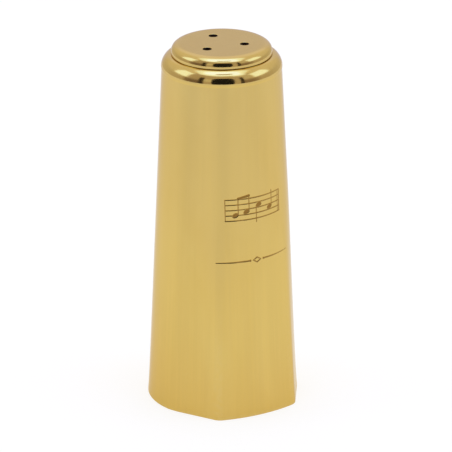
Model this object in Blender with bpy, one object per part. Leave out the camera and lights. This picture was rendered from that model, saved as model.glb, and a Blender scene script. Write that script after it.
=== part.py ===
"""Saxophone mouthpiece cap: a drawn, tapered brass cup that slips over a mouthpiece and its ligature.

Three solids, as the real cap comes apart on a bench:
  body_shell         tapered tube with a pressed channel for the ligature's screws, a rolled
                     shoulder and a neck
  end_disc           cup-shaped disc with three vent holes, fitted over the neck
  solder_joint_ring  soft-solder fillet between the neck and the underside of the disc

Frame: the origin is the centre of the open mouth, +Z runs up the axis to the closed end, and the
channel faces -Y. Lengths are in millimetres, turned into metres as the meshes are made, and angles
are in degrees. Profile points are (radius, height).
"""

import math

import bmesh
import bpy
import numpy as np

MM = 0.001

# ---- Sheet -----------------------------------------------------------------------------------
HEIGHT = 78.0  # mouth rim to the flat of the end disc
WALL = 0.6  # drawn sheet brass
EDGE = 0.12  # broken edge on the mouth rim

# ---- Body: a straight taper that flares a little at the mouth --------------------------------
TAPER_MOUTH_R = 15.93  # radius of the straight taper, carried down to the mouth
TAPER = 0.0466  # loss of radius per mm of height
FLARE = 0.12  # extra radius at the mouth
FLARE_HEIGHT = 3.0  # height over which the flare dies away
BODY_LEVELS = [EDGE, 1.2, 3.0, 6.5, 12.0, 20.0, 29.0, 37.0, 41.0, 46.5, 60.0]  # ring heights

# ---- Channel: a flatter panel between two corners, with straight flanks ----------------------
# Angles are measured at the mouth, from the panel's middle.
PANEL_PROUD = 0.11  # middle of the panel, beyond the round body
PANEL_ARC_R = 31.0  # the panel's own curvature
FLANK_DISTANCE = 15.66  # axis to the flank's plane
FLANK_ANGLE = 58.1  # direction of the flank's normal
FLANK_LIMIT = 90.0  # the outline is round beyond this angle
CORNER_BLEND = 0.72  # softening of the two corners
FLANK_BLEND = 0.46  # softening where the flank runs into the round body
CHANNEL_TOP = 43.0  # height at which the straight fade would reach the taper
CHANNEL_FADE = 0.08  # share of that height, either side of it, over which the fade is eased
CHANNEL_EDGE = 36.0  # half angle of the zone that runs straight up, parallel to the axis

# Columns of the body's mesh on one side: close together at the corners, wider round the back.
FRONT_ANGLES = [
    0, 4, 8, 12, 16, 20, 24, 27, 29, 30.5, 32, 33.5, 35.5, 38, 41, 44.5, 48, 52, 56, 60,
]
BACK_ANGLES = list(range(66, 181, 6))

# ---- Shoulder and neck -----------------------------------------------------------------------
SHOULDER_Z = 73.10  # widest point of the rolled shoulder
SHOULDER_PROUD = 0.10  # how far the rolled shoulder stands beyond the taper
SHOULDER_POWER = 1.84  # 2 would make the roll an ellipse; less makes it a little leaner
SHOULDER_STEPS = 9
SEAT_Z = 75.72  # flat seat under the disc
NECK_R = 9.90
NECK_TOP_Z = 76.30
NECK_EDGE = 0.1  # small bevels at the neck's foot and end
NECK_BORE_BEVEL = 0.35  # bevel where the bore meets the underside of the seat

# ---- End disc --------------------------------------------------------------------------------
DISC_R = 10.55
DISC_FLAT_R = 8.13
DISC_RIM_Z = HEIGHT - 2.02  # where the disc's side begins to round over
DISC_CEILING_Z = HEIGHT - WALL
DISC_POWER = 2.55  # the rim is a little fuller than an ellipse
DISC_OUTER_STEPS = 6
DISC_FOOT_OUTER_BEVEL = 0.06
DISC_FOOT_INNER_BEVEL = 0.2
INNER_STEPS = 5  # steps of each rounded inner surface
TURN_STEPS = 80  # steps of a turned solid round the axis
MERGE_DISTANCE = 0.00001  # metres

VENTS = 3
VENT_R = 0.93
VENT_CIRCLE_R = 4.80
VENT_PHASE = 82.9  # direction of the first hole, from +X
VENT_SEGMENTS = 24
VENT_CUTTER_DEPTH = 4.0 * WALL

# ---- Solder fillet ---------------------------------------------------------------------------
SOLDER_GAP = 0.03  # line between soldered faces
SOLDER_DROP = 0.6  # reach down the bore, below the neck's end
SOLDER_CLEARANCE = 0.05  # least height of the fillet's curve above its land on the neck
SOLDER_REACH = 0.6  # reach under the disc's flat, inward of the flat's edge

SHARP_ANGLE = 35.0


# ---- The body's form -------------------------------------------------------------------------
def body_radius(z):
    """Radius of the round body at height z."""
    return TAPER_MOUTH_R - TAPER * z + FLARE * math.exp(-z / FLARE_HEIGHT)


def soft_min(first, second, blend):
    """The lesser of two values, eased where they are within blend of each other."""
    share = min(1.0, max(0.0, 0.5 + 0.5 * (second - first) / blend))
    return second + (first - second) * share - blend * share * (1.0 - share)


def channel_rise(mouth_angle):
    """How far the mouth's outline stands beyond the circle."""
    angle = abs(mouth_angle)
    if angle > FLANK_LIMIT:
        return 0.0
    round_r = body_radius(0.0)
    flank = FLANK_DISTANCE / math.cos(math.radians(angle - FLANK_ANGLE))
    if angle > FLANK_ANGLE:
        return soft_min(flank, round_r, FLANK_BLEND) - round_r
    # The ray meets the panel's arc, whose centre lies on the panel's middle line.
    centre = round_r + PANEL_PROUD - PANEL_ARC_R
    along = centre * math.cos(math.radians(angle))
    across = centre * math.sin(math.radians(angle))
    panel = along + math.sqrt(PANEL_ARC_R**2 - across**2)
    return soft_min(panel, flank, CORNER_BLEND) - round_r


def channel_share(z):
    """1 at the mouth, falling in a straight line towards 0 at CHANNEL_TOP, eased at the end."""
    share = 1.0 - z / CHANNEL_TOP
    if share >= CHANNEL_FADE:
        return share
    if share > -CHANNEL_FADE:
        return (share + CHANNEL_FADE) ** 2 / (4.0 * CHANNEL_FADE)
    return 0.0


def column_angle(mouth_angle, z):
    """Angle at height z of the column that starts at mouth_angle.

    The channel's sides run parallel, so they take a wider angle as the body narrows, and the rest
    of the columns share what is left. Above the channel the angles stay as they are.
    """
    z = min(z, CHANNEL_TOP * (1.0 + CHANNEL_FADE))
    ratio = body_radius(0.0) / body_radius(z)

    def parallel(angle):
        return math.degrees(math.asin(ratio * math.sin(math.radians(angle))))

    if abs(mouth_angle) <= CHANNEL_EDGE:
        return parallel(mouth_angle)
    edge = parallel(CHANNEL_EDGE)
    spread = (180.0 - edge) / (180.0 - CHANNEL_EDGE)
    return math.copysign(edge + (abs(mouth_angle) - CHANNEL_EDGE) * spread, mouth_angle)


def mouth_angles():
    """Angles of all the body's columns, once round; the middle and the back are not doubled."""
    half = FRONT_ANGLES + BACK_ANGLES
    return [-angle for angle in reversed(half[1:-1])] + half


def column_point(mouth_angle, radius, z):
    angle = math.radians(column_angle(mouth_angle, z))
    return radius * math.sin(angle), -radius * math.cos(angle), z


def tapered_ring(z, inset):
    """Ring of the tapered body with its channel, inset from the outside."""
    radius, share = body_radius(z) - inset, channel_share(z)
    return [column_point(a, radius + share * channel_rise(a), z) for a in mouth_angles()]


def round_ring(radius, z):
    """Circular ring, on the same columns, for the shoulder and the neck."""
    return [column_point(angle, radius, z) for angle in mouth_angles()]


# ---- Rounded profiles ------------------------------------------------------------------------
def fuller(value, power):
    """A sine or cosine bent so that the curve drawn with it is an ellipse of another power."""
    return math.copysign(abs(value) ** (2.0 / power), value)


def round_point(start, end, power, turn):
    """Point of the round that is upright at start (turn 0) and flat at end (turn pi / 2)."""
    across = fuller(math.cos(turn), power)
    up = fuller(math.sin(turn), power)
    return end[0] + (start[0] - end[0]) * across, start[1] + (end[1] - start[1]) * up


def quarter_round(start, end, steps, power):
    """Points of a quarter round that leaves start upright and arrives flat at end."""
    turns = [math.pi / 2 * i / steps for i in range(1, steps)]
    return [start] + [round_point(start, end, power, turn) for turn in turns] + [end]


def rolled_shoulder():
    """Points of the rolled shoulder, which leaves the taper below its widest point and arrives
    flat at the disc. The first point lies on the taper."""
    widest = (body_radius(SHOULDER_Z) + SHOULDER_PROUD, SHOULDER_Z)
    end = (DISC_R, SEAT_Z)
    low, foot = -math.pi / 2, 0.0
    for _ in range(40):  # halve the interval until the roll meets the taper
        middle = (low + foot) / 2
        radius, z = round_point(widest, end, SHOULDER_POWER, middle)
        if radius < body_radius(z):
            low = middle
        else:
            foot = middle
    turns = [foot + (math.pi / 2 - foot) * i / SHOULDER_STEPS for i in range(SHOULDER_STEPS + 1)]
    return [round_point(widest, end, SHOULDER_POWER, turn) for turn in turns]


def neck_profile():
    """Points up the outside of the neck from the seat, over its end and down the bore."""
    bore, underside = NECK_R - WALL, SEAT_Z - WALL
    return [
        (NECK_R + NECK_EDGE, SEAT_Z),
        (NECK_R, SEAT_Z + NECK_EDGE),
        (NECK_R, NECK_TOP_Z - NECK_EDGE),
        (NECK_R - NECK_EDGE, NECK_TOP_Z),
        (bore + NECK_EDGE, NECK_TOP_Z),
        (bore, NECK_TOP_Z - NECK_EDGE),
        (bore, underside + NECK_BORE_BEVEL),
        (bore + NECK_BORE_BEVEL, underside),
    ]


def shoulder_underside():
    """Points of the shoulder's inner surface, climbing to the underside of the seat."""
    start = (body_radius(SHOULDER_Z) - WALL, SHOULDER_Z)
    return quarter_round(start, (DISC_R, SEAT_Z - WALL), INNER_STEPS, SHOULDER_POWER)


def disc_inside():
    """Points of the disc's rounded inner surface, climbing to its ceiling."""
    start = (DISC_R - WALL, DISC_RIM_Z)
    return quarter_round(start, (DISC_FLAT_R, DISC_CEILING_Z), INNER_STEPS, DISC_POWER)


# ---- Scene and mesh helpers ------------------------------------------------------------------
def clear():
    for obj in list(bpy.data.objects):
        bpy.data.objects.remove(obj, do_unlink=True)


def metal(name, colour, roughness):
    mat = bpy.data.materials.new(name)
    mat.use_nodes = True
    inputs = mat.node_tree.nodes["Principled BSDF"].inputs
    inputs["Base Color"].default_value = (*colour, 1.0)
    inputs["Roughness"].default_value = roughness
    inputs["Metallic"].default_value = 1.0
    return mat


def link(name, mesh, mat):
    obj = bpy.data.objects.new(name, mesh)
    bpy.context.scene.collection.objects.link(obj)
    mesh.materials.append(mat)
    return obj


def mesh_from(bm, name):
    """Turn a bmesh into a named mesh and free it."""
    mesh = bpy.data.meshes.new(name)
    bm.to_mesh(mesh)
    bm.free()
    return mesh


def ring_solid(name, rings, mat):
    """A closed solid from rings that run once round the wall's section, outside and back inside."""
    bm = bmesh.new()
    rows = [[bm.verts.new((x * MM, y * MM, z * MM)) for x, y, z in ring] for ring in rings]
    count = len(rows[0])
    for row, following in zip(rows, rows[1:] + rows[:1]):
        for i in range(count):
            j = (i + 1) % count
            bm.faces.new((row[i], row[j], following[j], following[i]))
    bmesh.ops.recalc_face_normals(bm, faces=bm.faces)
    mesh = mesh_from(bm, name)
    mesh.shade_smooth()
    mesh.set_sharp_from_angle(angle=math.radians(SHARP_ANGLE))
    return link(name, mesh, mat)


def turned_solid(name, profile, mat, closed):
    """A solid of revolution about Z, made with the Screw modifier."""
    points = [(radius * MM, 0.0, z * MM) for radius, z in profile]
    edges = [(i, i + 1) for i in range(len(points) - 1)]
    if closed:
        edges.append((len(points) - 1, 0))
    mesh = bpy.data.meshes.new(name)
    mesh.from_pydata(points, edges, [])
    obj = link(name, mesh, mat)
    screw = obj.modifiers.new("Turn", "SCREW")
    screw.axis = "Z"
    screw.steps = screw.render_steps = TURN_STEPS
    screw.use_merge_vertices = True
    screw.merge_threshold = MERGE_DISTANCE
    screw.use_smooth_shade = True
    return obj


# ---- The parts -------------------------------------------------------------------------------
def make_body_shell(mat):
    """Rings up the outside from the mouth, over the neck and back down the inside."""
    rings = [tapered_ring(0.0, EDGE)]
    rings += [tapered_ring(z, 0.0) for z in BODY_LEVELS]
    top = rolled_shoulder() + neck_profile() + shoulder_underside()[::-1]
    rings += [round_ring(radius, z) for radius, z in top]
    rings += [tapered_ring(z, WALL) for z in reversed(BODY_LEVELS)]
    rings.append(tapered_ring(0.0, WALL - EDGE))
    ring_solid("body_shell", rings, mat)


def make_vent_cutter(number, mat):
    """Upright cylinder, not rendered, that cuts one vent hole."""
    angle = math.radians(VENT_PHASE + 360.0 / VENTS * (number - 1))
    bm = bmesh.new()
    bmesh.ops.create_cone(
        bm,
        cap_ends=True,
        segments=VENT_SEGMENTS,
        radius1=VENT_R * MM,
        radius2=VENT_R * MM,
        depth=VENT_CUTTER_DEPTH * MM,
    )
    name = f"vent_cutter_{number}"
    cutter = link(name, mesh_from(bm, name), mat)
    cutter.location = (
        VENT_CIRCLE_R * math.cos(angle) * MM,
        VENT_CIRCLE_R * math.sin(angle) * MM,
        (HEIGHT - WALL / 2) * MM,
    )
    cutter.hide_render = True
    cutter.display_type = "WIRE"
    return cutter


def make_end_disc(mat):
    foot, inner_r = SEAT_Z + SOLDER_GAP, DISC_R - WALL
    outside = quarter_round(
        (DISC_R, DISC_RIM_Z), (DISC_FLAT_R, HEIGHT), DISC_OUTER_STEPS, DISC_POWER
    )
    profile = [
        (0.0, HEIGHT),
        *reversed(outside),
        (DISC_R, foot + DISC_FOOT_OUTER_BEVEL),
        (DISC_R - DISC_FOOT_OUTER_BEVEL, foot),
        (inner_r + DISC_FOOT_INNER_BEVEL, foot),
        (inner_r, foot + DISC_FOOT_INNER_BEVEL),
        *disc_inside(),
        (0.0, DISC_CEILING_Z),
    ]
    disc = turned_solid("end_disc", profile, mat, closed=False)
    for number in range(1, VENTS + 1):
        cutter = make_vent_cutter(number, mat)
        cut = disc.modifiers.new(f"Vent {number}", "BOOLEAN")
        cut.operation = "DIFFERENCE"
        cut.solver = "EXACT"
        cut.object = cutter


def make_solder_ring(mat):
    """Fillet inside the disc: it lies on the neck's end, follows the inside of the disc's rounded
    rim and runs a little way down the neck's bore."""
    bore = NECK_R - WALL - SOLDER_GAP
    land = NECK_TOP_Z + SOLDER_GAP
    top = DISC_CEILING_Z - SOLDER_GAP
    # The disc's inside already turns in at the neck's end, so the fillet stands clear of it there.
    inside_radii, inside_heights = zip(*disc_inside())
    land_r = float(np.interp(land, inside_heights, inside_radii)) - SOLDER_GAP
    curve = quarter_round(
        (DISC_R - WALL - SOLDER_GAP, DISC_RIM_Z), (DISC_FLAT_R, top), INNER_STEPS, DISC_POWER
    )
    # The fillet's free face, from the disc's flat down to the bore.
    free_face = [
        (DISC_FLAT_R - SOLDER_REACH, top),
        (DISC_FLAT_R + 0.02, top - 0.28),
        (bore - 0.3, land + 0.35),
        (bore - 0.12, land - 0.15),
    ]
    section = [(bore, NECK_TOP_Z - SOLDER_DROP), (bore, land), (land_r, land)]
    section += [point for point in curve if point[1] > land + SOLDER_CLEARANCE]
    section += free_face
    turned_solid("solder_joint_ring", section[::-1], mat, closed=True)


def main():
    clear()
    brass = (0.80, 0.58, 0.22)
    body_lacquer = metal("gold_lacquered_brass", colour=brass, roughness=0.16)
    disc_lacquer = metal("gold_lacquered_disc", colour=brass, roughness=0.12)
    solder = metal("soft_solder", colour=(0.62, 0.61, 0.58), roughness=0.35)
    make_body_shell(body_lacquer)
    make_end_disc(disc_lacquer)
    make_solder_ring(solder)
    bpy.context.view_layer.update()


main()
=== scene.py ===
"""Saxophone mouthpiece cap: a tapered brass shell closed by a pressed end disc.

The cap stands on its open mouth at z = 0 with its axis on +Z and the end disc on top. The ligature-screw
channel and the engraved panel face -Y. Three fine meshes replace the CAD nodes:
  cap_body           drawn shell with the channel, the rolled shoulder and a shallow engraved ornament
  cap_end_disc       end disc with three deburred vent holes
  cap_solder_fillet  the solder round the inside of the joint
Lengths are in mm until a mesh is made, and in metres from there on. Section points are (radius, z).
"""
import math

import bmesh
import bpy
import numpy as np
from mathutils import Matrix, Vector


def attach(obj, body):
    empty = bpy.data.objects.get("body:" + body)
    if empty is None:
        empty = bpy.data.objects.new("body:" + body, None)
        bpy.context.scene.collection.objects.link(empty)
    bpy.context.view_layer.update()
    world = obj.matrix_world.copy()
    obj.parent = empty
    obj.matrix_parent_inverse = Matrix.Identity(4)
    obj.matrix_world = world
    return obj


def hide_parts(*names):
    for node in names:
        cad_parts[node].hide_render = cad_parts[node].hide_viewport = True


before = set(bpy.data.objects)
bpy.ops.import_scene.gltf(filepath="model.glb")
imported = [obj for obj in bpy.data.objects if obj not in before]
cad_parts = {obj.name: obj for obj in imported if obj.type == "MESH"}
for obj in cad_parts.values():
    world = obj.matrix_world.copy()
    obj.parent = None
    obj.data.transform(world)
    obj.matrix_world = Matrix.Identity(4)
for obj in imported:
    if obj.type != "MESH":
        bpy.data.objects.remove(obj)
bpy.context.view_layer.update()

MM = 0.001

# ---- dimensions, mm and degrees ----
HEIGHT = 78.0
WALL = 0.6
EDGE = 0.12  # radius of the broken edges at the mouth
TAPER_R0, TAPER = 15.93, 0.0466
FLARE, FLARE_HEIGHT = 0.12, 3.0
PANEL_PROUD, PANEL_ARC_R = 0.11, 31.0
FLANK_DISTANCE, FLANK_ANGLE = 15.66, 58.1
CORNER_BLEND, FLANK_BLEND = 0.72, 0.46
CHANNEL_TOP, CHANNEL_FADE, CHANNEL_EDGE = 43.0, 0.08, 36.0
SHOULDER_Z, SHOULDER_PROUD, SHOULDER_POWER, SEAT_Z = 73.10, 0.10, 1.84, 75.72
SHOULDER_FILLET = 0.02
DISC_R, DISC_FLAT_R, DISC_ROUND_H, DISC_POWER = 10.55, 8.13, 2.02, 2.55
NECK_R, NECK_TOP_Z, SOLDER_GAP = 9.90, 76.30, 0.03
VENT_R, VENT_CIRCLE_R, VENT_PHASE, VENTS = 0.93, 4.80, 82.9, 3
VENT_BURR, VENT_SUNK = 0.16, 0.10  # width and depth of the rounded edge of a vent

BORE_R = NECK_R - WALL
DISC_INNER_R = DISC_R - WALL
DISC_FOOT_Z = SEAT_Z + SOLDER_GAP
DISC_RIM_Z = HEIGHT - DISC_ROUND_H
CEILING_Z = HEIGHT - WALL

# Material slots on the body and the disc. The vent slot holds the vent walls' painted shade.
LACQUER_SLOT, INSIDE_SLOT, VENT_SLOT = 0, 1, 2
DISC_SEGMENTS, VENT_SEGMENTS, SOLDER_SEGMENTS = 288, 64, 240


# ---- the body's form ----
def body_radius(z):
    return TAPER_R0 - TAPER * z + FLARE * np.exp(-np.asarray(z, float) / FLARE_HEIGHT)


MOUTH_R = float(body_radius(0.0))
SHOULDER_WIDE = float(body_radius(SHOULDER_Z)) + SHOULDER_PROUD - DISC_R
SHOULDER_HIGH = SEAT_Z - SHOULDER_Z


def soft_min(first, second, blend):
    share = np.clip(0.5 + 0.5 * (second - first) / blend, 0.0, 1.0)
    return second + (first - second) * share - blend * share * (1.0 - share)


def smooth(value, low, high):
    share = np.clip((np.asarray(value, float) - low) / (high - low), 0.0, 1.0)
    return share * share * (3.0 - 2.0 * share)


def channel_rise(mouth):
    """Rise of the mouth's outline over the circle, at angles in degrees from the panel's middle."""
    angle = np.abs(mouth)
    flank = FLANK_DISTANCE / np.maximum(0.05, np.cos(np.radians(angle - FLANK_ANGLE)))
    centre = MOUTH_R + PANEL_PROUD - PANEL_ARC_R
    panel = centre * np.cos(np.radians(angle)) + np.sqrt(
        np.maximum(0.0, PANEL_ARC_R**2 - (centre * np.sin(np.radians(angle))) ** 2)
    )
    front = soft_min(panel, flank, CORNER_BLEND) - MOUTH_R
    side = np.where(angle > 90.0, 0.0, soft_min(flank, MOUTH_R, FLANK_BLEND) - MOUTH_R)
    return np.where(angle > FLANK_ANGLE, side, front)


def channel_share(z):
    """How much of the mouth's rise is left at height z: linear, with a rounded end."""
    left = 1.0 - z / CHANNEL_TOP
    if left >= CHANNEL_FADE:
        return left
    return (left + CHANNEL_FADE) ** 2 / (4.0 * CHANNEL_FADE) if left > -CHANNEL_FADE else 0.0


def column_angle(mouth, z):
    """Angle at height z of the columns that start at these mouth angles, in degrees."""
    z = min(max(z, 0.0), CHANNEL_TOP * (1.0 + CHANNEL_FADE))
    ratio = float(MOUTH_R / body_radius(z))
    angle = np.abs(mouth)
    sine = ratio * np.sin(np.radians(np.minimum(angle, CHANNEL_EDGE)))
    inside = np.degrees(np.arcsin(np.clip(sine, 0, 1)))
    edge = math.degrees(math.asin(ratio * math.sin(math.radians(CHANNEL_EDGE))))
    outside = edge + (angle - CHANNEL_EDGE) * (180.0 - edge) / (180.0 - CHANNEL_EDGE)
    return np.sign(mouth) * np.where(angle <= CHANNEL_EDGE, inside, outside)


def shoulder_foot_radius(z):
    """Radius just below the shoulder's widest point: the roll meets the taper in a small fillet."""
    share = min(1.0, abs(z - SHOULDER_Z) / SHOULDER_HIGH)
    roll = DISC_R + SHOULDER_WIDE * (1.0 - share**SHOULDER_POWER) ** (1.0 / SHOULDER_POWER)
    return float(-soft_min(-body_radius(z), -roll, SHOULDER_FILLET))


# ---- engraved ornament: a short music staff and, under it, a ruled line ----
ENGRAVED_DEPTH, STROKE_SOFT = 0.055, 0.055
STAFF_Z, STAFF_PITCH, STAFF_HALF = 46.0, 1.15, 6.7
STAFF_LINE = 0.085  # stroke widths are all half widths
BAR_THICK, BAR_THIN, BAR_FIRST, BAR_GAP = 0.16, 0.08, 0.09, 0.52
NOTEHEAD_LONG, NOTEHEAD_SHORT, NOTEHEAD_TILT = 0.70, 0.47, 24.0
STEM_OFFSET, STEM_START, STEM_LINE = 0.62, 0.15, 0.10
BEAM_DROP, BEAM_LINE = 0.15, 0.24
RULE_Z, RULE_START, RULE_HALF, RULE_LINE, RULE_DOT = 34.6, 1.55, 9.0, 0.13, 0.2
LOZENGE_LONG, LOZENGE_HIGH, LOZENGE_INSET, LOZENGE_LINE = 0.95, 0.62, 0.06, 0.09
ORNAMENT_SHIFT = 0.35  # from the panel's middle towards +X
# Place along the staff, pitches above its middle line, and stem length, negative downwards.
# The first two notes are beamed.
NOTES = [(-4.55, -1.0, 3.75), (-2.15, -0.5, 3.65), (0.75, 0.5, -3.6), (3.55, -0.5, 3.5)]


def to_segment(along, z, start, end):
    """Distance from points to a segment, and the nearest point's place on it, 0 to 1."""
    run, climb = end[0] - start[0], end[1] - start[1]
    share = ((along - start[0]) * run + (z - start[1]) * climb) / max(1e-9, run * run + climb * climb)
    share = np.clip(share, 0.0, 1.0)
    return np.hypot(along - start[0] - share * run, z - start[1] - share * climb), share


def to_notehead(along, z, centre):
    """Signed distance, near enough, to a tilted ellipse."""
    cosine, sine = math.cos(math.radians(NOTEHEAD_TILT)), math.sin(math.radians(NOTEHEAD_TILT))
    lengthwise = (along - centre[0]) * cosine + (z - centre[1]) * sine
    across = -(along - centre[0]) * sine + (z - centre[1]) * cosine
    return (np.hypot(lengthwise / NOTEHEAD_LONG, across / NOTEHEAD_SHORT) - 1.0) * NOTEHEAD_SHORT


def ornament(along, z):
    """Depth share, 0 to 1, of the engraving at arc lengths from the panel's middle and height z."""
    along = along - ORNAMENT_SHIFT
    gap = np.full(along.shape, 9.0)  # distance beyond the edge of the nearest stroke

    def stroke(start, end, half, ends=(1.0, 1.0)):
        """A line of this half width, scaled at its two ends."""
        nonlocal gap
        distance, share = to_segment(along, z, start, end)
        gap = np.minimum(gap, distance - half * (ends[0] + (ends[1] - ends[0]) * share))

    for k in range(5):
        level = STAFF_Z + (k - 2) * STAFF_PITCH
        stroke((-STAFF_HALF, level), (0.0, level), STAFF_LINE, (0.75, 1.0))
        stroke((0.0, level), (STAFF_HALF, level), STAFF_LINE)
    low, high = STAFF_Z - 2 * STAFF_PITCH, STAFF_Z + 2 * STAFF_PITCH
    bars = ((STAFF_HALF, BAR_THICK), (STAFF_HALF - BAR_GAP, BAR_THIN), (-STAFF_HALF, BAR_FIRST))
    for place, half in bars:
        stroke((place, low), (place, high), half)
    beam = []
    for place, pitches, length in NOTES:
        head_z = STAFF_Z + pitches * STAFF_PITCH
        gap = np.minimum(gap, to_notehead(along, z, (place, head_z)))
        stem = place + math.copysign(STEM_OFFSET, length)
        foot_z = head_z + math.copysign(STEM_START, length)
        stroke((stem, foot_z), (stem, head_z + length), STEM_LINE)
        beam.append((stem, head_z + length - BEAM_DROP))
    stroke(beam[0], beam[1], BEAM_LINE)
    # Ruled line, tapering outwards from a dot on each side of a lozenge outline.
    for side in (-1, 1):
        start = (side * RULE_START, RULE_Z)
        stroke(start, (side * RULE_HALF, RULE_Z), RULE_LINE, (1.0, 0.35))
        stroke(start, (side * (RULE_START + 0.001), RULE_Z), RULE_DOT)
    lozenge = (np.abs(along) / LOZENGE_LONG + np.abs(z - RULE_Z) / LOZENGE_HIGH - 1.0) * 0.5
    gap = np.minimum(gap, np.abs(lozenge + LOZENGE_INSET) - LOZENGE_LINE)
    return smooth(gap, STROKE_SOFT, -STROKE_SOFT)


# ---- mesh helpers ----
def place_object(name, data):
    obj = bpy.data.objects.new(name, data)
    bpy.context.scene.collection.objects.link(obj)
    return obj


def smooth_object(mesh, materials):
    for material in materials:
        mesh.materials.append(material)
    mesh.shade_smooth()
    return place_object(mesh.name, mesh)


def object_from_rings(name, rings, materials, ring_slots):
    """A closed solid from rings of points. ring_slots holds the slot of the faces after each ring."""
    count, around = len(rings), len(rings[0])
    points = np.concatenate(rings) * MM
    index = np.arange(count * around).reshape(count, around)
    beside = np.roll(index, -1, 1)
    corners = [index, beside, np.roll(beside, -1, 0), np.roll(index, -1, 0)]
    quads = np.stack(corners, -1).reshape(-1, 4)
    mesh = bpy.data.meshes.new(name)
    mesh.vertices.add(len(points))
    mesh.vertices.foreach_set("co", points.astype(np.float32).ravel())
    mesh.loops.add(quads.size)
    mesh.loops.foreach_set("vertex_index", quads.astype(np.int32).ravel())
    mesh.polygons.add(len(quads))
    mesh.polygons.foreach_set("loop_start", np.arange(0, quads.size, 4, dtype=np.int32))
    slots = np.repeat(np.asarray(ring_slots, np.int32), around)
    mesh.polygons.foreach_set("material_index", slots)
    mesh.update(calc_edges=True)
    mesh.validate()
    return smooth_object(mesh, materials)


def arc(centre, radius, start, end, steps, first=True, power=2.0):
    """Section points on an arc, angles in degrees. A power other than 2 makes it fuller or flatter."""
    points = []
    for i in range(0 if first else 1, steps + 1):
        angle = math.radians(start + (end - start) * i / steps)
        cosine, sine = (
            math.copysign(abs(v) ** (2.0 / power), v) if abs(v) > 1e-9 else 0.0
            for v in (math.cos(angle), math.sin(angle))
        )
        points.append((centre[0] + radius[0] * cosine, centre[1] + radius[1] * sine))
    return points


def disc_round(radius, height, steps):
    """The disc's rounded edge, from just above the rim in to the flat."""
    size = (radius - DISC_FLAT_R, height)
    return arc((DISC_FLAT_R, DISC_RIM_Z), size, 0, 90, steps, first=False, power=DISC_POWER)


def set_attribute(obj, name, values):
    attribute = obj.data.attributes.new(name, "FLOAT", "POINT")
    attribute.data.foreach_set("value", np.asarray(values, np.float32))


def paint(obj, name, rule):
    """A value at each vertex, from its radius, height and angle from -Y in mm and degrees."""
    points = np.empty(len(obj.data.vertices) * 3, np.float32)
    obj.data.vertices.foreach_get("co", points)
    x, y, z = (points.reshape(-1, 3) / MM).T
    set_attribute(obj, name, rule(np.hypot(x, y), z, np.degrees(np.arctan2(x, -y))))


def dirt_and_shade_share(angle):
    """How thick the dirt and the painted seam shade in the joint lie at an angle from the panel: thin on
    the -X side.
    """
    away = np.abs((np.asarray(angle, float) + 82.0 + 180.0) % 360.0 - 180.0)
    return 0.3 + 0.6 * smooth(away, 18.0, 52.0)


# ---- cap_body ----
# Columns: evenly spaced out to FRONT_EDGE degrees, then in steps that grow towards the back.
FRONT_EDGE, FRONT_COLUMNS = 35.2, 204
SIDE_STEP, SIDE_GROWTH, SIDE_STEP_MAX = 0.35, 1.12, 2.6
# Heights of the rings up the outside, closest together across the engraving.
OUTER_LEVELS = [
    0.12, 0.3, 0.6, 1.0, 1.5, 2.1, 2.8, 3.7, 4.8, 6.1, 7.6, 9.3, 11.2, 13.2, 15.3, 17.5, 19.8,
    22.1, 24.4, 26.6, 28.7, 30.6, 32.2, 33.3, *np.linspace(33.8, 35.4, 19),
    36.1, 37.0, 38.0, 39.0, 40.0, 41.0, 41.8, *np.linspace(42.3, 50.1, 88),
    50.9, 52.0, 53.4, 55.2, 57.3, 59.6, 62.0, 64.3, 66.4, 68.2, 69.6, 70.6, 71.3, 71.7,
]
# Heights of the rings down the inside.
INNER_LEVELS = [
    70.0, 66.0, 60.0, 54.0, 49.0, 45.0, 42.0, 39.0, 35.0, 30.0, 24.0, 18.0, 12.0, 8.0, 5.0, 3.0,
    1.6, 0.8,
]


def shell_columns():
    """Mouth angles, close together across the engraved panel and its corners, wider at the back."""
    reach = MOUTH_R * math.sin(math.radians(FRONT_EDGE))
    front = np.degrees(np.arcsin(np.linspace(-reach, reach, FRONT_COLUMNS) / MOUTH_R))
    angle, step, side = FRONT_EDGE, SIDE_STEP, []
    while angle < 180.0:
        step = min(SIDE_STEP_MAX, step * SIDE_GROWTH)
        angle += step
        side.append(angle)
    side = np.array(side) - FRONT_EDGE
    side = FRONT_EDGE + side * (180.0 - FRONT_EDGE) / side[-1]
    return np.concatenate([-side[:-1][::-1], front, side])


def neck_section():
    """Seat and neck under the disc, then the bore and the underside of the shoulder."""
    inside_r = float(body_radius(SHOULDER_Z)) - WALL
    shoulder_size = (inside_r - DISC_R, SHOULDER_HIGH - WALL)
    points = [
        (10.25, SEAT_Z), (NECK_R + 0.1, SEAT_Z), (NECK_R + 0.02, SEAT_Z + 0.03),
        (NECK_R, SEAT_Z + 0.12), (NECK_R, NECK_TOP_Z - 0.1),
        (NECK_R - 0.03, NECK_TOP_Z - 0.03), (NECK_R - 0.1, NECK_TOP_Z),
        (BORE_R + 0.1, NECK_TOP_Z), (BORE_R + 0.03, NECK_TOP_Z - 0.03), (BORE_R, NECK_TOP_Z - 0.1),
    ]
    points += arc((BORE_R + 0.3, SEAT_Z - WALL + 0.3), (0.3, 0.3), 180, 270, 5)
    points += arc((DISC_R, SHOULDER_Z), shoulder_size, 90, 0, 12, power=SHOULDER_POWER)
    return points


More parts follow.
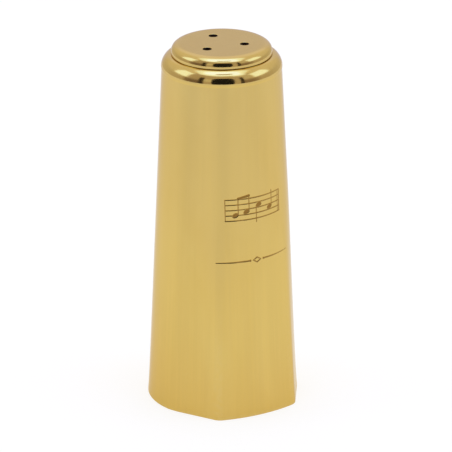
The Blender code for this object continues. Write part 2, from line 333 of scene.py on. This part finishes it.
def make_body(lacquer, inside):
    mouth = shell_columns()
    rise = channel_rise(mouth)
    rings, carved, slots = [], [], []

    def add(radius, z, slot=LACQUER_SLOT, depth=0.0):
        angle = np.radians(column_angle(mouth, z))
        ring = [radius * np.sin(angle), -radius * np.cos(angle), np.full_like(angle, z)]
        rings.append(np.stack(ring, -1))
        carved.append(np.broadcast_to(depth, mouth.shape))
        slots.append(slot)

    def outside(z):
        return body_radius(z) + channel_share(z) * rise

    # Rim: a land with both edges broken.
    add(outside(0.0) - EDGE, 0.0)
    for offset, z in arc((-EDGE, EDGE), (EDGE, EDGE), -60, -15, 3):
        add(outside(max(z, 0.0)) + offset, z)
    for z in OUTER_LEVELS:
        radius, depth = outside(z), 0.0
        if RULE_Z - 1.0 < z < STAFF_Z + 5.0:
            depth = ornament(radius * np.radians(column_angle(mouth, z)), z)
            radius = radius - ENGRAVED_DEPTH * depth
        add(radius, z, depth=depth)
    # The roll's foot, then the rolled shoulder up to the disc.
    for z in np.linspace(71.95, SHOULDER_Z, 24):
        add(shoulder_foot_radius(float(z)), float(z))
    roll_size = (SHOULDER_WIDE, SHOULDER_HIGH)
    roll = arc((DISC_R, SHOULDER_Z), roll_size, 0, 90, 36, first=False, power=SHOULDER_POWER)
    for radius, z in roll:
        add(radius, z)
    for radius, z in neck_section():
        add(radius, z, INSIDE_SLOT)
    for z in INNER_LEVELS:
        add(outside(z) - WALL, z, INSIDE_SLOT)
    for offset, z in arc((EDGE - WALL, EDGE), (EDGE, EDGE), 180, 240, 3):
        add(outside(0.0) + offset, z, INSIDE_SLOT)
    add(outside(0.0) - WALL + EDGE, 0.0)
    obj = object_from_rings("cap_body", rings, [lacquer, inside], slots)
    set_attribute(obj, "carved", np.concatenate(carved))

    # How sharply the mouth's outline bends, which is where the lacquer rubs.
    fine = np.linspace(-180.0, 180.0, 1441)
    bend = np.abs(np.gradient(np.gradient(channel_rise(fine), fine), fine))
    bend = np.interp(fine, fine, np.convolve(bend / bend.max(), np.ones(5) / 5, "same"))

    def worn(radius, z, angle):
        rim = 0.9 * (1.0 - smooth(z, 0.1, 0.9))
        corner = np.interp(angle, fine, bend) * np.clip(1.0 - z / 30.0, 0.0, 1.0)
        crest = smooth(z, 73.2, 74.2) * (1.0 - smooth(z, 74.9, 75.3))
        return np.maximum(np.maximum(rim, 0.6 * corner), 0.3 * crest)

    # Dirt in the joint and painted seam shade, on the shoulder's top next to the disc.
    def grime_and_seam_shade(radius, z, angle):
        joint = 0.35 * (1.0 - smooth(radius, 10.52, 10.57))
        return joint * smooth(z, 75.2, 75.5) * dirt_and_shade_share(angle)

    paint(obj, "worn", worn)
    paint(obj, "grime_and_seam_shade", grime_and_seam_shade)
    return obj


# ---- cap_end_disc ----
def vertex_ring(bm, radius, z, count=DISC_SEGMENTS, centre=(0.0, 0.0)):
    ring = []
    for i in range(count):
        angle = 2 * math.pi * i / count
        x, y = centre[0] + radius * math.cos(angle), centre[1] + radius * math.sin(angle)
        ring.append(bm.verts.new((x * MM, y * MM, z * MM)))
    return ring


def bridge(bm, lower, upper, slot=LACQUER_SLOT, flip=False):
    for i in range(len(lower)):
        j = (i + 1) % len(lower)
        corners = (lower[i], lower[j], upper[j], upper[i])
        face = bm.faces.new(corners[::-1] if flip else corners)
        face.material_index = slot


def ring_edges(bm, ring):
    pairs = zip(ring, ring[1:] + ring[:1])
    return [bm.edges.get(pair) or bm.edges.new(pair) for pair in pairs]


def make_vent(bm, angle):
    """A vent's rounded outer edge and its wall. Returns its rings on the top and on the ceiling."""
    centre = (VENT_CIRCLE_R * math.cos(angle), VENT_CIRCLE_R * math.sin(angle))
    section = [(VENT_R + VENT_BURR + 0.04, HEIGHT)]
    for turn in np.linspace(0, math.pi / 2, 7):
        radius = VENT_R + VENT_BURR * (1 - math.sin(turn))
        section.append((radius, HEIGHT - VENT_SUNK * (1 - math.cos(turn))))
    section += [(VENT_R, CEILING_Z + 0.05), (VENT_R + 0.05, CEILING_Z), (VENT_R + 0.12, CEILING_Z)]
    rings = [vertex_ring(bm, radius, z, VENT_SEGMENTS, centre) for radius, z in section]
    for n, (upper, lower) in enumerate(zip(rings, rings[1:])):
        # The wall below the rounded edge takes the vent's painted shade.
        bridge(bm, lower, upper, LACQUER_SLOT if n < 5 else VENT_SLOT, flip=True)
    return rings[0], rings[-1]


def fill_flat(bm, rim, holes, slot, up):
    """Fills a flat face round the vents, facing +Z if up is 1 and -Z if it is -1."""
    edges = ring_edges(bm, rim)
    for hole in holes:
        edges += ring_edges(bm, hole)
    filled = bmesh.ops.triangle_fill(bm, use_beauty=True, use_dissolve=False, edges=edges)
    for part in filled["geom"]:
        if isinstance(part, bmesh.types.BMFace):
            part.material_index = slot
            part.normal_update()
            if part.normal.z * up < 0:
                part.normal_flip()


def make_disc(lacquer, inside, tarnish_and_vent_shade):
    bm = bmesh.new()
    foot, inner_r = DISC_FOOT_Z, DISC_INNER_R
    outer = [(DISC_R - 0.30, foot)] + arc((DISC_R - 0.10, foot + 0.10), (0.10, 0.10), -90, 0, 5)
    outer += [(DISC_R, foot + up) for up in (0.13, 0.16, 0.19)] + [(DISC_R, DISC_RIM_Z)]
    outer += disc_round(DISC_R, DISC_ROUND_H, 40) + [(DISC_FLAT_R - 0.06, HEIGHT)]
    inner = [(inner_r + 0.2, foot), (inner_r + 0.05, foot + 0.05), (inner_r, foot + 0.2)]
    inner += [(inner_r, DISC_RIM_Z)] + disc_round(inner_r, CEILING_Z - DISC_RIM_Z, 12)
    inner += [(DISC_FLAT_R - 0.06, CEILING_Z)]
    outer_rings = [vertex_ring(bm, radius, z) for radius, z in outer]
    inner_rings = [vertex_ring(bm, radius, z) for radius, z in inner]
    for lower, upper in zip(outer_rings, outer_rings[1:]):
        bridge(bm, lower, upper)
    bridge(bm, inner_rings[0], outer_rings[0], INSIDE_SLOT)
    for lower, upper in zip(inner_rings, inner_rings[1:]):
        bridge(bm, lower, upper, INSIDE_SLOT, flip=True)
    angles = [math.radians(VENT_PHASE + 360.0 / VENTS * k) for k in range(VENTS)]
    tops, ceilings = zip(*[make_vent(bm, angle) for angle in angles])
    fill_flat(bm, outer_rings[-1], tops, LACQUER_SLOT, up=1.0)
    fill_flat(bm, inner_rings[-1], ceilings, INSIDE_SLOT, up=-1.0)
    bm.normal_update()
    mesh = bpy.data.meshes.new("cap_end_disc")
    bm.to_mesh(mesh)
    bm.free()
    # The third slot holds the vent walls' painted shade.
    obj = smooth_object(mesh, [lacquer, inside, tarnish_and_vent_shade])

    def worn(radius, z, angle):
        return 0.3 * smooth(radius, 9.2, 9.9) * smooth(z, 76.2, 76.8)

    # Dirt in the joint and painted seam shade, at the disc's foot.
    def grime_and_seam_shade(radius, z, angle):
        return (1.0 - smooth(z, SEAT_Z + 0.08, SEAT_Z + 0.20)) * dirt_and_shade_share(angle)

    paint(obj, "worn", worn)
    paint(obj, "grime_and_seam_shade", grime_and_seam_shade)
    return obj


# ---- cap_solder_fillet ----
SOLDER_SWELL, SOLDER_SAG = 0.16, 0.10  # how far the free face moves inwards and down


def make_solder(material):
    """The solder keeps the CAD ring's section, and its free face swells and thins round the ring."""
    rng = np.random.default_rng(7)
    waves = [
        (k, rng.uniform(0.2, 1.0) / k**0.6, rng.uniform(0, 2 * math.pi)) for k in range(2, 19)
    ]
    theta = np.linspace(0, 2 * math.pi, SOLDER_SEGMENTS, endpoint=False)
    swell = sum(size * np.sin(k * theta + phase) for k, size, phase in waves)
    swell = swell / sum(wave[1] for wave in waves)

    bore, outer_r = BORE_R - SOLDER_GAP, DISC_INNER_R - SOLDER_GAP
    land, top = NECK_TOP_Z + SOLDER_GAP, CEILING_Z - SOLDER_GAP
    # The disc's inside already turns in at the fillet's foot.
    climb = (land - DISC_RIM_Z) / (CEILING_Z - DISC_RIM_Z)
    foot_share = (1.0 - climb**DISC_POWER) ** (1.0 / DISC_POWER)
    foot_r = DISC_FLAT_R + (outer_r - DISC_FLAT_R) * foot_share
    start, pull, end = (DISC_FLAT_R - 0.55, top), (bore - 0.22, land + 0.15), (bore, NECK_TOP_Z - 0.55)
    roof = disc_round(outer_r, top - DISC_RIM_Z, 12)
    fixed = [end, (bore, land), (foot_r, land)]
    fixed += [point for point in roof if point[1] > land + 0.05] + [start]
    # Radius, height and how freely the point moves, 0 to 1. The free face is a curve towards pull.
    outline = [(radius, z, 0.0) for radius, z in fixed]
    for i in range(1, 12):
        t = i / 12
        radius, z = (
            (1 - t) ** 2 * a + 2 * t * (1 - t) * b + t * t * c for a, b, c in zip(start, pull, end)
        )
        outline.append((radius, z, math.sin(math.pi * t)))
    rings = []
    for radius, z, free in outline:
        moved = radius - SOLDER_SWELL * free * (0.5 + swell)
        lowered = z - SOLDER_SAG * free * (0.5 + np.roll(swell, 17))
        rings.append(np.stack([moved * np.cos(theta), moved * np.sin(theta), lowered], -1))
    return object_from_rings("cap_solder_fillet", rings, [material], [0] * len(rings))


# ---- shader nodes ----
def operation(kind, swapped=False):
    def apply(self, other=0.0):
        first, second = (other, self) if swapped else (self, other)
        return self.tree.math(kind, first, second)

    return apply


class Value:
    """A node's output. Arithmetic on it, and each method, adds a node to its tree."""

    def __init__(self, tree, socket):
        self.tree, self.socket = tree, socket

    __add__, __radd__ = operation("ADD"), operation("ADD", swapped=True)
    __sub__, __rsub__ = operation("SUBTRACT"), operation("SUBTRACT", swapped=True)
    __mul__, __pow__ = operation("MULTIPLY"), operation("POWER")
    __abs__, maximum = operation("ABSOLUTE"), operation("MAXIMUM")

    def step(self, low, high, first=0.0, last=1.0):
        """Smooth step from first at low to last at high. Low may be the larger."""
        if low > high:
            low, high, first, last = high, low, last, first
        inputs = {0: self, 1: low, 2: high, 3: first, 4: last}
        return self.tree.add("ShaderNodeMapRange", inputs, interpolation_type="SMOOTHSTEP")

    def band(self, low, high, soft):
        """1 between low and high, 0 outside, with soft edges."""
        return self.step(low - soft, low + soft) * self.step(high + soft, high - soft)

    def mix(self, none, full):
        """The number none where this is 0 and full where it is 1."""
        return self.tree.add("ShaderNodeMix", {0: self, 2: none, 3: full}, data_type="FLOAT")

    def tint(self, none, full):
        """The colour none where this is 0 and full where it is 1."""
        return self.tree.mix_colour(self, none, full, "MIX")

    def shade(self, none, full):
        """The shader none where this is 0 and full where it is 1."""
        return self.tree.add("ShaderNodeMixShader", {0: self, 1: none, 2: full})


class Tree:
    """Short names for the few shader nodes used here. Inputs are Values or plain values."""

    def __init__(self, owner):
        owner.use_nodes = True
        self.nodes, self.links = owner.node_tree.nodes, owner.node_tree.links
        self.nodes.clear()

    def node(self, kind, inputs, **settings):
        node = self.nodes.new(kind)
        for key, value in settings.items():
            setattr(node, key, value)
        for key, value in inputs.items():
            if isinstance(value, Value):
                self.links.new(value.socket, node.inputs[key])
            else:
                node.inputs[key].default_value = value
        return node

    def add(self, kind, inputs, out=0, **settings):
        return Value(self, self.node(kind, inputs, **settings).outputs[out])

    def math(self, kind, first, second=0.0):
        return self.add("ShaderNodeMath", {0: first, 1: second, 2: 0.0}, operation=kind)

    def vector(self, kind, first, second=(0.0, 0.0, 0.0), out=0):
        return self.add("ShaderNodeVectorMath", {0: first, 1: second}, out, operation=kind)

    def join(self, x, y, z):
        return self.add("ShaderNodeCombineXYZ", {0: x, 1: y, 2: z})

    def split(self, vector):
        node = self.node("ShaderNodeSeparateXYZ", {0: vector})
        return [Value(self, socket) for socket in node.outputs]

    def mix_colour(self, share, first, second, blend):
        inputs = {0: share, 6: first, 7: second}
        return self.add("ShaderNodeMix", inputs, 2, data_type="RGBA", blend_type=blend)

    def noise(self, where, scale, detail=2.0, rough=0.5, bend=0.0):
        inputs = {"Vector": where, "Scale": scale, "Detail": detail, "Roughness": rough}
        return self.add("ShaderNodeTexNoise", {**inputs, "Distortion": bend})

    def attribute(self, name):
        return self.add("ShaderNodeAttribute", {}, "Fac", attribute_name=name)

    def coordinates(self, out):
        return self.add("ShaderNodeTexCoord", {}, out)

    def seen(self):
        """1 for what the camera sees directly, 0 for what only lights and reflects."""
        return self.add("ShaderNodeLightPath", {}, "Is Camera Ray")

    def bump(self, height, strength, distance, **normal):
        inputs = {"Strength": strength, "Distance": distance, "Height": height, **normal}
        return self.add("ShaderNodeBump", inputs)

    def surface(self, base, metallic, rough, normal, more=None):
        """Principled shader to the material's output."""
        inputs = {"Base Color": base, "Metallic": metallic, "Roughness": rough, "Normal": normal}
        self.output(self.add("ShaderNodeBsdfPrincipled", {**inputs, **(more or {})}))

    def output(self, shader, kind="ShaderNodeOutputMaterial"):
        self.node(kind, {"Surface": shader})


def new_material(name):
    material = bpy.data.materials.new(name)
    return material, Tree(material)


def rgb(*channels):
    """Linear colour from sRGB values 0 to 255."""
    shares = [v / 255.0 for v in channels]
    return (*(v / 12.92 if v <= 0.04045 else ((v + 0.055) / 1.055) ** 2.4 for v in shares), 1.0)


# ---- materials: noise scales are per mm, bump distances in metres ----
GOLD_PALE, GOLD_DEEP = rgb(223, 193, 112), rgb(221, 190, 108)
BRASS_RUBBED = rgb(226, 202, 140)
# The joint's colour: brown dirt and painted seam shade.
GRIME_AND_SEAM_SHADE = rgb(104, 66, 26)
ENGRAVED_DARK, ENGRAVED_LIGHT = rgb(150, 108, 48), rgb(178, 136, 66)
BRASS_DARK, BRASS_LIGHT, BRASS_TARNISH = rgb(176, 134, 70), rgb(204, 166, 98), rgb(124, 84, 44)
SOLDER_DARK, SOLDER_LIGHT, FLUX = rgb(150, 150, 148), rgb(196, 196, 192), rgb(126, 106, 74)
# Painted shade for the walls of the vent holes, near black.
VENT_SHADE_DARK, VENT_SHADE_LIGHT = rgb(40, 22, 14), rgb(74, 48, 28)


def point_mm(tree):
    return tree.vector("MULTIPLY", tree.coordinates("Object"), (1000.0, 1000.0, 1000.0))


def around(tree):
    """Object coordinates in mm: the point, its level part, its radius and its height."""
    point = point_mm(tree)
    x, y, z = tree.split(point)
    flat = tree.join(x, y, 0.0)
    return point, flat, tree.vector("LENGTH", flat, out="Value"), z


def unit_circle(tree, flat, radius):
    size = tree.join(radius.maximum(0.001), radius.maximum(0.001), 1.0)
    return tree.vector("DIVIDE", flat, size)


def drawn_at(tree, unit, z, across, along):
    """Where to look up noise that runs in lines up the wall: its scale round and up the cap."""
    ring = tree.vector("MULTIPLY", unit, (across, across, 0.0))
    return tree.vector("ADD", ring, tree.join(0.0, 0.0, z * along))


def scratches(tree, point, scale, turn, density):
    """Hairlines running one way: noise drawn out along one direction and cut to thin lines."""
    stretch = (scale, scale, scale * 0.02)
    inputs = {"Vector": point, "Rotation": turn, "Scale": stretch}
    turned = tree.add("ShaderNodeMapping", inputs)
    grain = tree.noise(turned, scale=1.0, detail=1.0, rough=0.4, bend=0.15)
    line = abs(grain - 0.5).step(low=0.0, high=0.012, first=1.0, last=0.0)
    return line * tree.noise(point, scale=0.35, rough=0.6).step(low=density, high=density + 0.08)


def gold_lacquer(name, lengthwise=True):
    """Clear gold lacquer over polished brass, with lines up the body or rings round the disc."""
    material, tree = new_material(name)
    point, flat, radius, z = around(tree)
    if lengthwise:
        unit = unit_circle(tree, flat, radius)
        fine_at = drawn_at(tree, unit, z, across=44.0, along=0.035)
        broad_at = drawn_at(tree, unit, z, across=7.5, along=0.016)
    else:
        fine_drift = tree.noise(point, scale=0.12, detail=1.0) * 1.4
        broad_drift = tree.noise(point, scale=0.09, detail=1.0) * 2.0
        fine_at = tree.join(radius * 3.1, z * 3.1, fine_drift)
        broad_at = tree.join(radius * 0.55, z * 0.4, broad_drift)
    fine = tree.noise(fine_at, scale=1.0, detail=3.0, rough=0.55)
    broad = tree.noise(broad_at, scale=1.0)
    cloud_at = tree.vector("MULTIPLY", point, (1.0, 1.0, 0.45))
    cloud = tree.noise(cloud_at, scale=0.085, detail=3.0, rough=0.55, bend=0.4)
    speck = tree.noise(point, scale=9.0, rough=0.6)

    # Colour: the lacquer's drift between lemon and orange gold, with the lines over it.
    base = cloud.step(low=0.36, high=0.64).tint(GOLD_DEEP, GOLD_PALE)
    level = 1.0 + (fine - 0.5) * 0.075 + (broad - 0.5) * 0.06
    # The lines differ in hue too, where the lacquer lies thicker in them.
    hue = tree.noise(tree.vector("ADD", fine_at, (11.3, 4.7, 2.9)), scale=0.8)
    blue = level + (hue - 0.5) * 0.10
    base = tree.mix_colour(1.0, base, tree.join(level, level, blue), "MULTIPLY")

    carved = tree.attribute("carved")
    patches = tree.noise(point, scale=1.3, detail=3.0, rough=0.65)
    rub = tree.attribute("worn") * patches.step(low=0.38, high=0.62)
    base = (rub * 0.55).tint(base, BRASS_RUBBED)
    # Dirt settles in the joint under the disc, and the seam's shade is painted in with it as a dark
    # brown line.
    clumps = tree.noise(point, scale=1.9, rough=0.6)
    dirt_and_seam_shade = tree.attribute("grime_and_seam_shade") * clumps.step(low=0.25, high=0.65, first=0.55, last=1.0)
    base = dirt_and_seam_shade.tint(base, GRIME_AND_SEAM_SHADE)
    oxide = tree.noise(point, scale=5.0, rough=0.6).tint(ENGRAVED_DARK, ENGRAVED_LIGHT)
    base = (carved * 0.92).tint(base, oxide)

    marks = scratches(tree, point, scale=2.6, turn=(0.5, 0.25, 0.0), density=0.56)
    crossing = scratches(tree, point, scale=2.1, turn=(-0.7, 0.9, 0.4), density=0.60)
    marks = marks.maximum(crossing)
    rough = cloud.step(low=0.3, high=0.7).mix(0.085, 0.115)
    rough = rough + (fine - 0.5) * 0.04 + marks * 0.10 + rub * 0.12
    rough = (carved * 0.9).maximum(dirt_and_seam_shade).mix(rough, 0.52)

    # Height: the lines in the brass, and the lacquer's orange peel and scratches over them.
    lines_bump = tree.bump(fine, strength=0.16, distance=0.00001)
    peel = tree.noise(point, scale=1.1)
    height = peel * 0.7 + (speck * 0.10 + marks * -0.5)
    coat_bump = tree.bump(height, strength=0.16, distance=0.00003, Normal=lines_bump)
    bare = carved.maximum(dirt_and_seam_shade.maximum(rub * 0.8))
    tree.surface(base, dirt_and_seam_shade.mix(1.0, 0.35), rough, lines_bump, {
        "Specular Tint": (0.88, 0.83, 0.75, 1.0),
        "Coat Weight": bare.mix(0.04, 0.0),
        "Coat Roughness": rub.mix(0.05, 0.2),
        "Coat IOR": 1.5,
        "Coat Normal": coat_bump,
    })
    return material


def raw_brass():
    """The inside: unlacquered brass, dull from drawing, with a brown bloom of tarnish."""
    material, tree = new_material("brass_inside")
    point, flat, radius, z = around(tree)
    lines_at = drawn_at(tree, unit_circle(tree, flat, radius), z, across=60.0, along=0.08)
    lines = tree.noise(lines_at, scale=1.0, detail=3.0, rough=0.6)
    bloom = tree.noise(point, scale=0.16, detail=4.0, rough=0.6, bend=0.6)
    spots = tree.noise(point, scale=1.4, detail=3.0, rough=0.65)
    base = lines.step(low=0.35, high=0.65).tint(BRASS_DARK, BRASS_LIGHT)
    spotted = spots.step(low=0.3, high=0.6, first=0.5, last=1.0)
    tarnish_and_vent_shade = bloom.step(low=0.44, high=0.68) * spotted
    base = (tarnish_and_vent_shade * 0.75).tint(base, BRASS_TARNISH)
    rough = tarnish_and_vent_shade.mix(0.30, 0.52) + (lines - 0.5) * 0.16
    bump = tree.bump(lines + spots * 0.6, strength=0.35, distance=0.00002)
    tree.surface(base, tarnish_and_vent_shade.mix(1.0, 0.8), rough, bump)
    return material


def solder_metal():
    """Soft solder: grey, slightly dull, with patches of flux stain."""
    material, tree = new_material("solder")
    point = point_mm(tree)
    cloud = tree.noise(point, scale=0.7, detail=4.0, rough=0.6, bend=0.8)
    grain = tree.noise(point, scale=6.0, detail=3.0, rough=0.65)
    stain = tree.noise(point, scale=0.9, detail=3.0, rough=0.6).step(low=0.52, high=0.72)
    base = (stain * 0.7).tint(cloud.tint(SOLDER_DARK, SOLDER_LIGHT), FLUX)
    rough = cloud.mix(0.28, 0.42) + (grain - 0.5) * 0.14
    bump = tree.bump(cloud * 1.5 + grain, strength=0.4, distance=0.00004)
    tree.surface(base, stain.mix(0.95, 0.6), rough, bump)
    return material


def vent_painted_shade():
    """The walls of the vent holes, painted black-brown for the shade inside the holes."""
    material, tree = new_material("vent_painted_shade")
    vent_mottle = tree.noise(point_mm(tree), scale=7.0, detail=3.0, rough=0.65)
    base = vent_mottle.step(low=0.35, high=0.65).tint(VENT_SHADE_DARK, VENT_SHADE_LIGHT)
    bump = tree.bump(vent_mottle, strength=0.5, distance=0.00002)
    tree.surface(base, 0.1, vent_mottle.mix(0.6, 0.85), bump)
    return material


# ---- camera, and the directions the studio is laid out in: degrees and mm ----
CAMERA_AZIMUTH, CAMERA_ELEVATION, CAMERA_ROLL = -28.60, 21.65, 0.276
CAMERA_DISTANCE, CAMERA_LENS, CAMERA_AIM = 971.97, 367.96, (0.639, -0.348, 37.127)
azimuth, elevation = math.radians(CAMERA_AZIMUTH), math.radians(CAMERA_ELEVATION)
RIGHT = Vector((math.cos(azimuth), math.sin(azimuth), 0.0))
FRONT = Vector((math.sin(azimuth), -math.cos(azimuth), 0.0))  # level, from the cap to the camera
BACK = FRONT * math.cos(elevation) + Vector((0, 0, 1)) * math.sin(elevation)


def make_camera():
    data = bpy.data.cameras.new("camera")
    data.lens, data.sensor_width, data.sensor_fit = CAMERA_LENS, 36.0, "HORIZONTAL"
    data.clip_start, data.clip_end = 0.05, 20.0
    camera = place_object("camera", data)
    up = BACK.cross(RIGHT)
    roll = math.radians(CAMERA_ROLL)
    across = RIGHT * math.cos(roll) - up * math.sin(roll)
    upward = RIGHT * math.sin(roll) + up * math.cos(roll)
    pose = Matrix((across, upward, BACK)).transposed().to_4x4()
    pose.translation = (Vector(CAMERA_AIM) + BACK * CAMERA_DISTANCE) * MM
    camera.matrix_world = pose
    bpy.context.scene.camera = camera


# ---- studio: turn and rise are in degrees, levels are light strengths ----
def bearing(tree, where):
    """Angle round the vertical, 0 towards the camera and positive to the right."""
    ahead = tree.vector("DOT_PRODUCT", where, FRONT, "Value")
    side = tree.vector("DOT_PRODUCT", where, RIGHT, "Value")
    return tree.math("ARCTAN2", side, ahead) * (180.0 / math.pi)


def tent_tone(level, wide, gap):
    """Colour of the tent: warm where dim, neutral at wall level, bluer where bright."""
    tone = level.step(0.2, 0.45).tint((1.0, 0.76, 0.74, 1.0), (1.0, 0.87, 0.85, 1.0))
    wall = wide.step(145, 165).tint((1.0, 0.96, 0.97, 1.0), (1.0, 0.985, 1.27, 1.0))
    tone = level.step(0.50, 0.66).tint(tone, wall)
    tone = gap.tint(tone, (1.0, 1.0, 1.5, 1.0))
    tone = level.step(1.0, 1.25).tint(tone, (0.81, 1.0, 1.46, 1.0))
    return level.step(1.5, 1.8).tint(tone, (0.74, 1.0, 2.2, 1.0))


def make_studio():
    """A light tent: a bright overhead dome, a softbox on each side, grey between them, and a dark
    gap that the camera looks in through. The camera itself sees plain white."""
    world = bpy.data.worlds.new("studio")
    bpy.context.scene.world = world
    tree = Tree(world)
    look = tree.vector("NORMALIZE", tree.coordinates("Generated"))
    turn = bearing(tree, look)
    rise = tree.math("ARCSINE", tree.split(look)[2]) * (180.0 / math.pi)
    wide = abs(turn)

    # Tent walls, from the sides round to the back: duller low down, paler behind and above.
    low_wall = wide.step(84, 168).mix(0.55, 0.76)
    high_wall = wide.step(84, 160).mix(0.73, 0.80)
    level = rise.step(4, 24).mix(low_wall, high_wall)
    level = wide.step(168, 178).mix(level, 0.75)
    level = rise.step(26, 40).mix(level, 0.80)
    level = (rise.step(23, 31) * wide.step(135, 168)).mix(level, 0.90)
    # Panels either side of the camera, dim low down, the left one dimmer.
    right = turn.step(-20, 20)
    outer = wide.step(58, 70)
    dull = right.mix(outer.mix(0.20, 0.26), outer.mix(0.29, 0.38))
    pale = right.mix(0.50, 0.64)
    level = wide.step(80, 70).mix(level, rise.step(4, 24).mix(dull, pale))
    between = rise.band(10, 27, soft=4).mix(0.54, right.mix(0.70, 0.56))
    level = wide.step(40, 37).mix(level, between)
    strips = turn.band(-45.0, -35.0, soft=0.6) + turn.band(36.0, 43.2, soft=0.6)
    level = (strips * rise.step(42, 30)).mix(level, 0.04)
    # The camera's gap, a hole with round corners.
    across = abs((turn + -2.45) * (1.0 / 22.3)) ** 4.0
    upward = abs((rise + -11.0) * (1.0 / 26.0)) ** 4.0
    gap = (across + upward).step(1.06, 0.90)
    level = gap.mix(level, 0.015)
    # Softboxes right and left.
    box = turn.band(66, 104, soft=4.0) * rise.band(17.0, 46, soft=3.5)
    box = box + turn.band(-104, -71, soft=4.0) * rise.band(16.5, 49, soft=3.5)
    level = box.mix(level, 1.5)
    # Overhead dome, brightest at the zenith, with a dull patch near it.
    edge = wide.step(55, 95).mix(55.5, 63.5) + turn.band(28, 64, soft=8) * -6.0
    over = rise - edge
    level = over.step(-3.5, 3.0).mix(level, 1.38)
    level = over.step(3, 14).mix(level, 1.8)
    level = (turn.band(-24, 46, soft=6) * rise.band(68.5, 77.0, soft=1.5)).mix(level, 0.45)

    inputs = {"Color": tent_tone(level, wide, gap), "Strength": level}
    tent = tree.add("ShaderNodeBackground", inputs)
    white = {"Color": (1.0, 1.0, 1.0, 1.0), "Strength": 1.0}
    plain = tree.add("ShaderNodeBackground", white)
    tree.output(tree.seen().shade(tent, plain), "ShaderNodeOutputWorld")


def floor_white():
    """White paper that also glows a little, as painted light. Distances are in metres from the cap's
    axis.
    """
    material, tree = new_material("floor_white")
    where = tree.coordinates("Object")
    away = tree.vector("LENGTH", where, out="Value")
    card = tree.noise(where, scale=900.0, rough=0.6)
    white = card.tint((0.86, 0.86, 0.85, 1.0), (0.88, 0.88, 0.87, 1.0))
    paper = tree.add("ShaderNodeBsdfDiffuse", {"Color": white})
    # What the metal sees: painted warm bounce light close by, white further out, and painted shade far
    # off and towards the camera.
    turn = bearing(tree, where)
    painted_shade_bands = turn.band(-72, -48, soft=12) + turn.band(-8, 12, soft=8)
    painted_shade_bands = painted_shade_bands + abs(turn).step(105, 60) * 0.9
    painted_shade = away.step(0.02, 0.27).mix(0.35, 1.0) * (painted_shade_bands * 0.075)
    painted_shade = painted_shade + away.step(0.12, 0.27) * 0.03
    painted_glow = away.step(0.020, 0.075).tint((1.16, 1.00, 0.54, 1.0), (1.17, 1.08, 0.70, 1.0))
    painted_glow = away.step(0.09, 0.19).tint(painted_glow, (1.08, 0.99, 0.78, 1.0))
    painted_glow = away.step(0.19, 0.26).tint(painted_glow, (1.08, 1.02, 0.96, 1.0))
    # The glow is painted light seen only in reflections, dimmed by the painted shade.
    lit = tree.add("ShaderNodeEmission", {"Color": painted_glow, "Strength": 1.0 - painted_shade})
    seen = tree.seen()
    clean_light = {"Color": (1.0, 0.97, 0.885, 1.0), "Strength": 1.13}
    clean = tree.add("ShaderNodeEmission", clean_light)
    sheet = seen.mix(0.5, 0.72).shade(paper, seen.shade(lit, clean))
    clear = tree.add("ShaderNodeBsdfTransparent", {})
    tree.output(away.step(0.38, 0.43).shade(sheet, clear))
    return material


def make_floor():
    """A round white sheet under the cap, whose edge fades out so that it never shows as a line."""
    mesh = bpy.data.meshes.new("floor")
    bm = bmesh.new()
    bmesh.ops.create_circle(bm, cap_ends=True, segments=96, radius=0.44)
    bm.to_mesh(mesh)
    bm.free()
    floor = place_object("floor", mesh)
    floor.location.z = -0.00002
    mesh.materials.append(floor_white())


# ---- build ----
lacquer = gold_lacquer("gold_lacquer_drawn")
spun = gold_lacquer("gold_lacquer_spun", lengthwise=False)
inside = raw_brass()
solder = solder_metal()
cad_looks = (("body_shell", lacquer), ("end_disc", spun), ("solder_joint_ring", solder))
for node, material in cad_looks:
    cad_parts[node].data.materials.clear()
    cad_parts[node].data.materials.append(material)

pieces = (
    (make_body(lacquer, inside), "body_shell", "gold_lacquer"),
    (make_disc(spun, inside, vent_painted_shade()), "end_disc", "gold_lacquer"),
    (make_solder(solder), "solder_joint_ring", "solder"),
)
for piece, node, slot in pieces:
    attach(piece, "root")
    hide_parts(node)

make_floor()
make_studio()
make_camera()
view = bpy.context.scene.view_settings
view.view_transform, view.look, view.exposure, view.gamma = "Standard", "None", 0.0, 1.0
